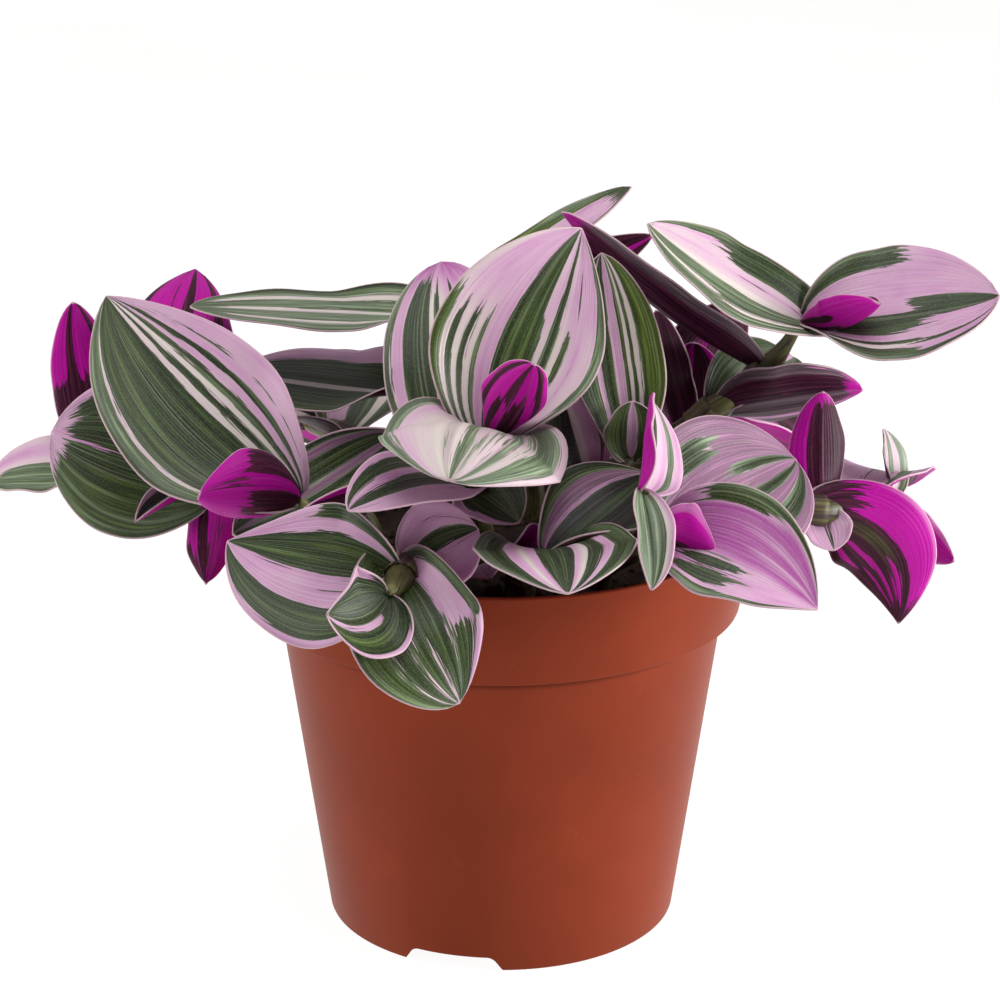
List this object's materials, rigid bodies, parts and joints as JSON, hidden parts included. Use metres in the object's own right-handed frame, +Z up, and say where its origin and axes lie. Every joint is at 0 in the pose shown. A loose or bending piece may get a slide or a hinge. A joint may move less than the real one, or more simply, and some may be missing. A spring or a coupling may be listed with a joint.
{
  "type": "potted tradescantia",
  "caption": "Leafy potted plant with striped, clasping leaves on trailing stems, rooted in soil in a round tapered nursery pot that stands on its foot.",
  "frame": {"origin": "on the ground, in the middle of the pot's foot", "axes": "+Z up along the pot's axis, -Y towards the front of the plant, +X to its right as seen from the front"},
  "size_m": [0.2395, 0.192, 0.1714],
  "materials": {
    "pot_plastic": "satin terracotta-coloured polypropylene",
    "soil": "damp dark potting soil with peat crumbs",
    "foliage": "satin leaves striped green, cream, pink and magenta, on fleshy olive stems"
  },
  "bodies": {
    "root": {"pot": "pot_plastic", "soil": "soil", "leafy_stem_back": "foliage", "leafy_stem_back_left": "foliage", "leafy_stem_back_right": "foliage", "leafy_stem_centre": "foliage", "leafy_stem_centre_left": "foliage", "leafy_stem_centre_right": "foliage", "leafy_stem_front_centre": "foliage", "leafy_stem_front_left": "foliage", "leafy_stem_front_right": "foliage", "leafy_stem_left": "foliage", "leafy_stem_left_front": "foliage", "leafy_stem_middle": "foliage", "leafy_stem_rear": "foliage", "leafy_stem_rear_left": "foliage", "leafy_stem_rear_right": "foliage", "leafy_stem_right": "foliage", "leafy_stem_right_low": "foliage"}
  },
  "joints": []
}
